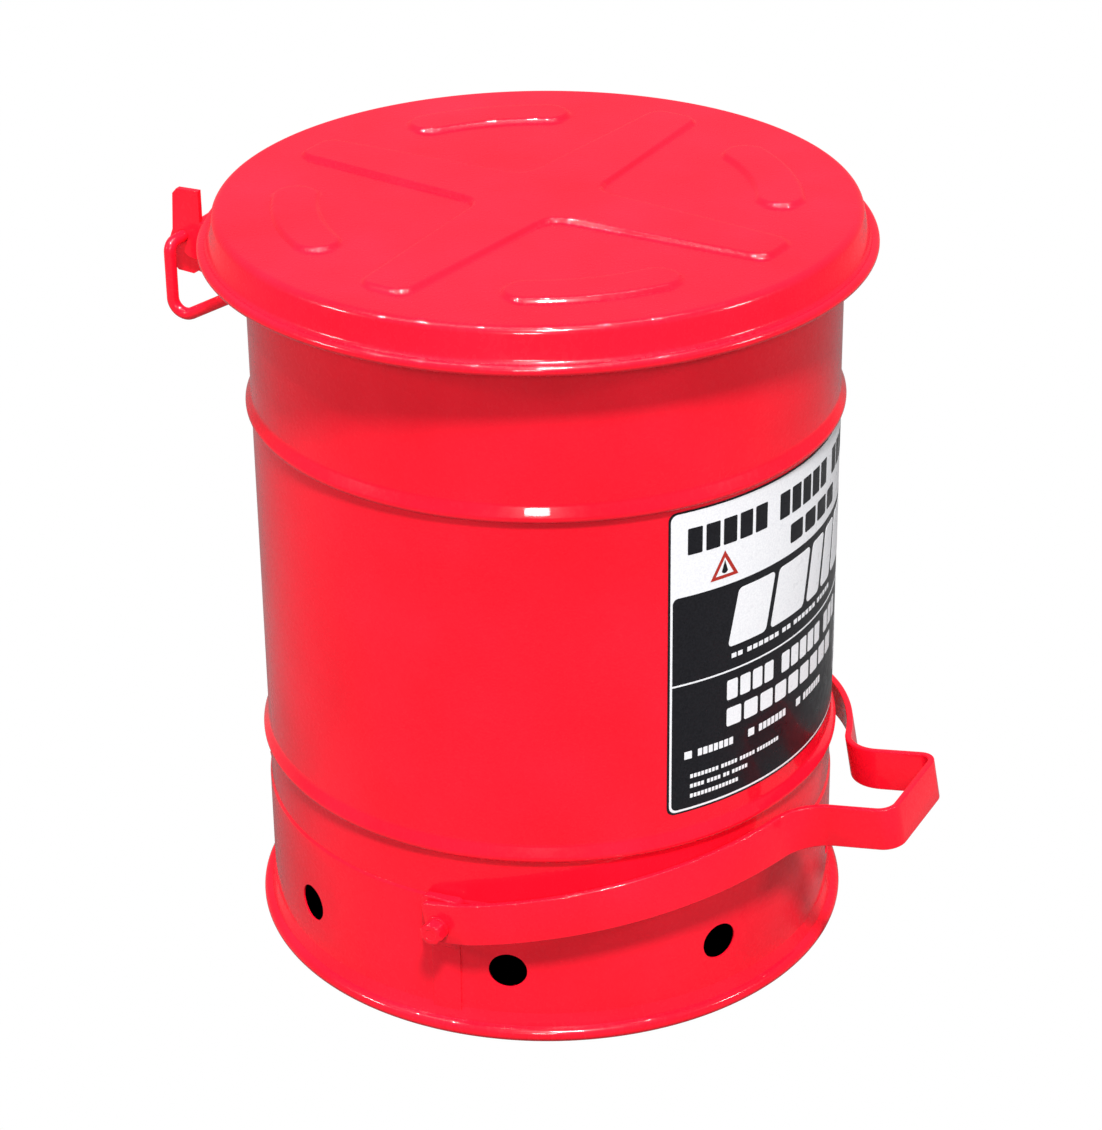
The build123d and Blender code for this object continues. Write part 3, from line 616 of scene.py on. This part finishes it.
def lever_strap():
    """Strap swept along its whole line, with its end corners rounded."""
    half_line = lever_half()
    path = half_line + [(-x, y) for x, y in half_line[-2::-1]]
    section = strap_section()
    tilt = Matrix.Translation(PIVOT) @ Matrix.Rotation(-TILT, 4, "X")
    total = sum(math.dist(a, b) for a, b in zip(path, path[1:]))
    bm = bmesh.new()
    rings, gone = [], 0.0
    for i, p in enumerate(path):
        if i:
            gone += math.dist(path[i - 1], p)
        a, b = path[max(i - 1, 0)], path[min(i + 1, len(path) - 1)]
        along = Vector((b[0] - a[0], b[1] - a[1], 0)).normalized()
        side = Vector((along.y, -along.x, 0))
        low, top = (rounded_off(radius, min(gone, total - gone)) for radius in (ROUND_LOW, ROUND_TOP))
        ring = []
        for u, v in section:
            v = RISE + v * (STRAP_W / 2 - (top if v > 0 else low)) / (STRAP_W / 2)
            ring.append(bm.verts.new(tilt @ (Vector((p[0], p[1], 0)) + side * u + Vector((0, 0, v)))))
        rings.append(ring)
    join_rings(bm, rings)
    bm.faces.new(rings[0])
    bm.faces.new(rings[-1])
    new_piece("lever_strap", bm, "pedal", PAINT, ["foot_lever"], 50)


# ---- hinge wire -----------------------------------------------------------------------------------------
HINGE_Y, HINGE_Z, WIRE_R, LEG_X, TURN = 228.0, 414.6, 3.75, 50.5, 5.5
WIRE_END_Y, WIRE_END_Z, WIRE_FOOT_Z, FOOT_TURN = 169.5, 397.0, 364.7, 9.0


def hinge_wire():
    """Bent wire: up from the can on one side, across as the hinge pin, and down on the other."""
    corners = [(WIRE_END_Y, WIRE_END_Z, 0), (HINGE_Y, WIRE_FOOT_Z, FOOT_TURN), (HINGE_Y, HINGE_Z - TURN, 0)]
    line = [Vector((LEG_X, y, z)) for y, z in rounded(corners)]
    line += [Vector((x, HINGE_Y, z)) for x, z in arc(LEG_X - TURN, HINGE_Z - TURN, TURN, 0, 90, 12)[1:]]
    line += [Vector((-p.x, p.y, p.z)) for p in reversed(line)]
    tube = bpy.data.curves.new("hinge_wire_line", "CURVE")
    tube.dimensions, tube.bevel_depth, tube.bevel_resolution = "3D", WIRE_R * MM, 6
    spline = tube.splines.new("POLY")
    spline.points.add(len(line) - 1)
    for point, p in zip(spline.points, line):
        point.co = (*(p * MM), 1)
    tube.materials.append(PAINT)
    piece = bpy.data.objects.new("hinge_wire_bent", tube)
    scene.collection.objects.link(piece)
    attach(piece, "can")
    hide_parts("hinge_wire")


# ---- bolts: hexagon heads with a chamfer and a shallow dish ------------------------------------------
HEAD_ACROSS, HEAD_H, HEAD_TURN, HEAD_SIDES = 13.0, 7.5, 0.25, 48
WASHER_T = 1.6
SIXTH = math.pi / 3


def hex_head(bm, centre, direction):
    """Hexagon head. Each level is a height and a round radius, or no radius where it is a hexagon."""
    z, x = Vector(direction), Vector((0, 1, 0))
    y = z.cross(x)
    levels = [(0.0, None), (HEAD_H - 1.1, None), (HEAD_H - 0.25, 0.93), (HEAD_H, 0.80), (HEAD_H, 0.55),
              (HEAD_H - 0.3, 0.50), (HEAD_H - 0.3, 0.0)]
    rings = []
    for level, scale in levels:
        ring = []
        for k in range(HEAD_SIDES):
            a = 2 * math.pi * k / HEAD_SIDES + HEAD_TURN
            if scale is None:
                facet = (a - HEAD_TURN + SIXTH / 2) % SIXTH - SIXTH / 2
                r = min(HEAD_ACROSS / 2 / math.cos(facet), HEAD_ACROSS / 2 * 1.125)
            else:
                r = HEAD_ACROSS / 2 * 1.06 * scale
            ring.append(bm.verts.new(Vector(centre) + z * level + x * r * math.cos(a) + y * r * math.sin(a)))
        rings.append(ring)
    join_rings(bm, rings)
    bm.faces.new(rings[0])


def bolt_heads():
    """Both pivot bolts' heads, outside the strap's ends."""
    bm = bmesh.new()
    for side in (-1, 1):
        hex_head(bm, (side * (STRAP_X + STRAP_T / 2 + WASHER_T), PIVOT.y, PIVOT.z), (side, 0, 0))
    new_piece("bolt_heads", bm, "pedal", PAINT, ["pivot_bolts"], 35)


# ---- floor, light and camera ------------------------------------------------------------------------
# The second value is the radius of the painted shade: the floor is black inside it, under the can.
FLOOR_HALF, PAINTED_SHADE_RADIUS = 12.0, 0.181


def floor_material():
    """White to the camera's own rays outside the base ring, and dark to all other rays.

    Inside the base ring it is black, a painted shade under the can, so that the vents look into the dark.
    """
    m, shader = material("pale_floor", 0.8)
    shader.inputs["Specular IOR Level"].default_value = 0.0
    length = add_node(m, "ShaderNodeVectorMath", operation="LENGTH")
    link(m, add_node(m, "ShaderNodeTexCoord").outputs["Object"], length.inputs[0])
    # Painted shade: the floor is black inside the base ring, under the can, so that the vents look dark.
    outside_painted_shade = add_node(m, "ShaderNodeMath", operation="GREATER_THAN")
    outside_painted_shade.inputs[1].default_value = PAINTED_SHADE_RADIUS
    link(m, length.outputs["Value"], outside_painted_shade.inputs[0])
    floor_colour_with_painted_shade = add_node(m, "ShaderNodeVectorMath", operation="SCALE")
    link(m, ramp(m, noise(m, 3, 2), [(0.3, (0.12, 0.12, 0.12)), (0.7, (0.14, 0.14, 0.14))]), floor_colour_with_painted_shade.inputs[0])
    link(m, outside_painted_shade.outputs["Value"], floor_colour_with_painted_shade.inputs["Scale"])
    link(m, floor_colour_with_painted_shade.outputs["Vector"], shader.inputs["Base Color"])
    seen = add_node(m, "ShaderNodeMath", operation="MULTIPLY")
    link(m, add_node(m, "ShaderNodeLightPath").outputs["Is Camera Ray"], seen.inputs[0])
    link(m, outside_painted_shade.outputs["Value"], seen.inputs[1])
    glow = add_node(m, "ShaderNodeEmission", in_Strength=1.0)
    blend = add_node(m, "ShaderNodeMixShader")
    link(m, seen.outputs["Value"], blend.inputs["Fac"])
    link(m, shader.outputs["BSDF"], blend.inputs[1])
    link(m, glow.outputs["Emission"], blend.inputs[2])
    link(m, blend.outputs["Shader"], m.node_tree.nodes["Material Output"].inputs["Surface"])
    return m


def floor():
    """Large square floor."""
    bm = bmesh.new()
    corners = ((-1, -1), (1, -1), (1, 1), (-1, 1))
    bm.faces.new([bm.verts.new((x * FLOOR_HALF, y * FLOOR_HALF, 0)) for x, y in corners])
    mesh = bpy.data.meshes.new("floor")
    bm.to_mesh(mesh)
    bm.free()
    mesh.materials.append(floor_material())
    ground = bpy.data.objects.new("floor", mesh)
    scene.collection.objects.link(ground)


def world():
    """Even white surroundings, at low strength."""
    scene.world = bpy.data.worlds.new("studio")
    scene.world.use_nodes = True
    background = scene.world.node_tree.nodes["Background"]
    background.inputs["Color"].default_value = (1, 1, 1, 1)
    background.inputs["Strength"].default_value = 0.20


def lamp_object(name, lamp, aim):
    """Object for a lamp, turned so that it shines along a direction."""
    lit = bpy.data.objects.new(name, lamp)
    scene.collection.objects.link(lit)
    lit.rotation_mode = "QUATERNION"
    lit.rotation_quaternion = Vector(aim).to_track_quat("-Z", "Y")
    return lit


def area_light(name, place, aim, size, watts):
    """Square soft light at a place, aimed at a point."""
    lamp = bpy.data.lights.new(name, "AREA")
    lamp.shape, lamp.size, lamp.energy = "SQUARE", size, watts
    lamp_object(name, lamp, Vector(aim) - Vector(place)).location = place


def lights():
    """Three soft lights round the can, six small ceiling lamps and one broad light."""
    area_light("key", (-2.5, -1.1, 1.6), (0, 0, 0.25), 0.45, 30)
    area_light("front", (0.4, -2.6, 1.6), (0, 0, 0.25), 0.45, 22)
    area_light("left", (-1.9, 1.9, 1.5), (0, 0, 0.3), 0.45, 24)
    ceiling = ((-0.10, -0.10, 15.6), (-0.75, 0.75, 15.6), (0.45, -0.75, 11.7), (-0.45, 0.30, 13.0),
               (-1.05, 1.25, 11.7), (0.20, -0.42, 10.4))
    for k, (x, y, watts) in enumerate(ceiling):
        area_light("ceiling_%d" % k, (x, y, 2.8), (0, 0, 0.4), 0.09, watts)
    sun = bpy.data.lights.new("broad", "SUN")
    sun.energy, sun.angle = 4.2, math.radians(9)
    lamp_object("broad", sun, (0.66, 0.46, -1.42))


AZIMUTH, ELEVATION, DISTANCE, AIM_Z = math.radians(-62.5), math.radians(27.43), 2.040, 0.230
YAW, PITCH, ROLL = math.radians(-0.05), math.radians(-0.12), math.radians(0.69)
FRAME_HIGH, FOCAL, SENSOR = 1130.0, 3337.0, 36.0


def view():
    """Camera aimed at a point on the can's axis, then turned slightly about its own axes."""
    data = bpy.data.cameras.new("camera")
    data.lens = FOCAL / FRAME_HIGH * SENSOR
    camera = bpy.data.objects.new("camera", data)
    scene.collection.objects.link(camera)
    scene.camera = camera
    away = Vector((math.sin(AZIMUTH) * math.cos(ELEVATION), -math.cos(AZIMUTH) * math.cos(ELEVATION),
                   math.sin(ELEVATION)))
    right, forward = Vector((math.cos(AZIMUTH), math.sin(AZIMUTH), 0)), -away
    up = right.cross(forward)
    for angle, pick in ((YAW, "up"), (PITCH, "right"), (ROLL, "forward")):
        spin = Matrix.Rotation(angle, 3, {"up": up, "right": right, "forward": forward}[pick])
        right, up, forward = spin @ right, spin @ up, spin @ forward
    place = Vector((0, 0, AIM_Z)) + away * DISTANCE
    camera.matrix_world = Matrix(((right.x, up.x, -forward.x, place.x), (right.y, up.y, -forward.y, place.y),
                                  (right.z, up.z, -forward.z, place.z), (0, 0, 0, 1)))


for build in (can_shell, skirt, skirt_lap, lid_pressing, label_film, label_print, lever_strap, hinge_wire,
              bolt_heads, floor, world, lights, view):
    build()
